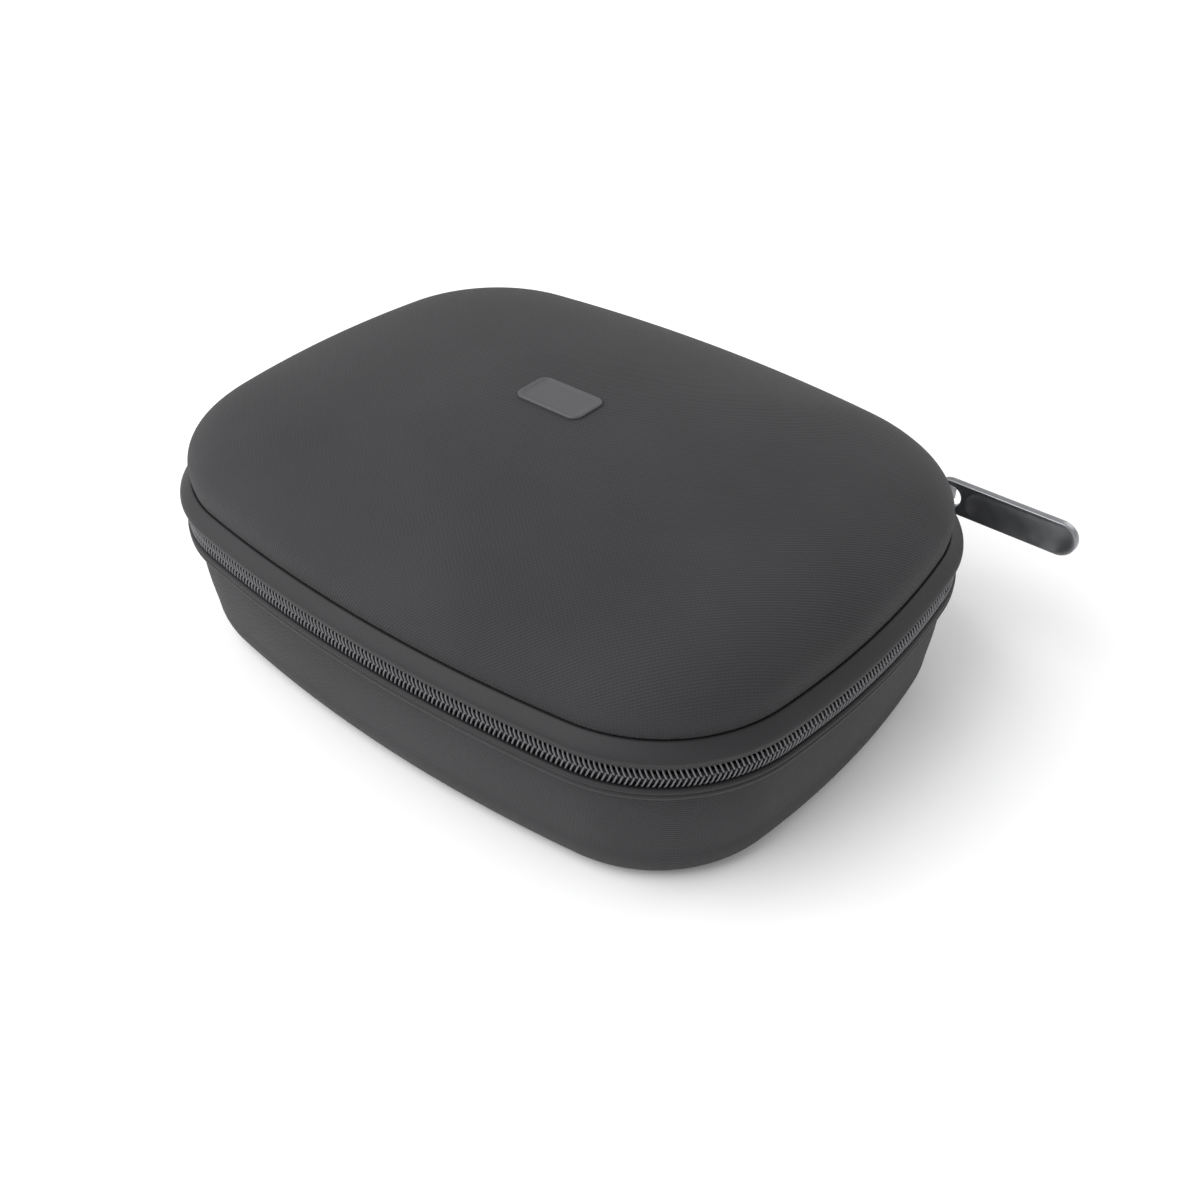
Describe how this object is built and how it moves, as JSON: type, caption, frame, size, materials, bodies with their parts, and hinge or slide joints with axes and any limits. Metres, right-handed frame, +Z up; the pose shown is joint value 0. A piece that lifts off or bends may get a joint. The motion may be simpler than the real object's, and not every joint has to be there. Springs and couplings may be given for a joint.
{
  "type": "headphone carrying case",
  "caption": "Zipped clamshell hard case for folding headphones: two moulded fabric-covered shells, back fabric hinge, coil zipper and net pocket.",
  "frame": {"origin": "middle of the flat underside that the case rests on", "axes": "+Z up, +X along the long side, +Y towards the fabric hinge at the back"},
  "size_m": [0.2241, 0.1642, 0.0781],
  "materials": {
    "outer_fabric": "fine woven polyester, matt",
    "rim_fabric": "smooth coated polyester",
    "foam_shell": "moulded EVA foam",
    "lining_fabric": "brushed knit lining",
    "zip_tape": "woven zipper tape",
    "zip_coil": "nylon coil",
    "binding": "grosgrain binding",
    "net": "knitted net",
    "elastic": "ribbed elastic",
    "zip_metal": "gunmetal plated zinc",
    "badge_rubber": "satin rubber"
  },
  "bodies": {
    "base": {"base_cover": "outer_fabric", "base_shell": "foam_shell", "base_lining": "lining_fabric", "base_rim_band": "rim_fabric", "lower_zip_tape": "zip_tape", "lower_zip_coil": "zip_coil", "base_inner_binding": "binding", "hinge_cloth": "rim_fabric", "hinge_lining": "lining_fabric", "lower_stop_right": "zip_metal", "lower_stop_left": "zip_metal"},
    "lid": {"lid_cover": "outer_fabric", "lid_shell": "foam_shell", "lid_lining": "lining_fabric", "lid_rim_band": "rim_fabric", "upper_zip_tape": "zip_tape", "upper_zip_coil": "zip_coil", "lid_inner_binding": "binding", "upper_stop_right": "zip_metal", "upper_stop_left": "zip_metal", "mesh_pocket": "net", "pocket_elastic": "elastic", "lid_badge": "badge_rubber"},
    "slider": {"slider_body": "zip_metal"},
    "pull": {"zip_pull": "zip_metal"}
  },
  "joints": [
    {"name": "lid_hinge", "type": "hinge", "parent": "base", "child": "lid", "pos_m": [0, 0.0811, 0.04], "axis": [-1, 0, 0], "range_deg": [0, 180], "deforming": ["hinge_cloth", "hinge_lining"]},
    {"name": "slider_travel", "type": "hinge", "parent": "base", "child": "slider", "pos_m": [0.058, 0.031, 0.04], "axis": [0, 0, -1], "range_deg": [0, 54]},
    {"name": "pull_swing", "type": "hinge", "parent": "slider", "child": "pull", "pos_m": [0.07572, 0.07968, 0.04], "axis": [0, 0, 1], "range_deg": [-25, 45]}
  ]
}
